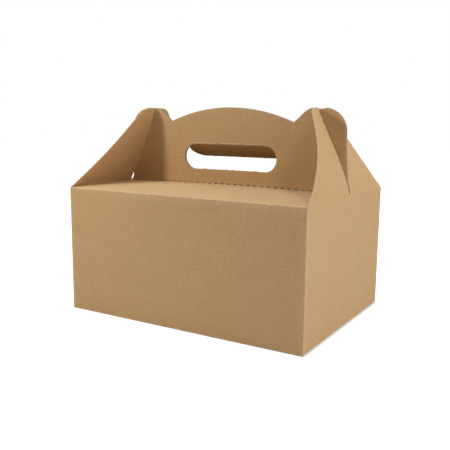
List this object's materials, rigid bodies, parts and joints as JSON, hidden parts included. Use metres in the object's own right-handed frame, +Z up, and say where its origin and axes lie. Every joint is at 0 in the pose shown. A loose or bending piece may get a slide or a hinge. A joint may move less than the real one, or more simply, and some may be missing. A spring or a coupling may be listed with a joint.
{
  "type": "gable cardboard lunch box",
  "caption": "Kraft cardboard lunch box with a flat folded lid, slotted gable wings that lock over an upright carry handle, and a hand hole with pushed-back tabs.",
  "frame": {"origin": "under the middle of the box, on the surface that it stands on", "axes": "+X along the front panel to its right end, +Y from the front to the rear panel, +Z up to the handle"},
  "size_m": [0.23, 0.17, 0.1828],
  "materials": {
    "kraft_board": "matte uncoated brown kraft board"
  },
  "bodies": {
    "carton": {"carton": "kraft_board"},
    "left_wing": {"left_wing": "kraft_board"},
    "right_wing": {"right_wing": "kraft_board"},
    "front_tab": {"front_grip_tab": "kraft_board"},
    "rear_tab": {"rear_grip_tab": "kraft_board"}
  },
  "joints": [
    {"name": "left_wing_fold", "type": "hinge", "parent": "carton", "child": "left_wing", "pos_m": [-0.11475, 0, 0.111], "axis": [0, -1, 0], "range_deg": [0, 115]},
    {"name": "right_wing_fold", "type": "hinge", "parent": "carton", "child": "right_wing", "pos_m": [0.11475, 0, 0.111], "axis": [0, 1, 0], "range_deg": [0, 115]},
    {"name": "front_tab_fold", "type": "hinge", "parent": "carton", "child": "front_tab", "pos_m": [0, -0.001, 0.1495], "axis": [1, 0, 0], "range_deg": [-58, 10]},
    {"name": "rear_tab_fold", "type": "hinge", "parent": "carton", "child": "rear_tab", "pos_m": [0, 0.001, 0.1495], "axis": [1, 0, 0], "range_deg": [-58, 10]}
  ],
  "couplings": [
    {"joint": "rear_tab_fold", "follows": "front_tab_fold", "ratio": 1}
  ]
}
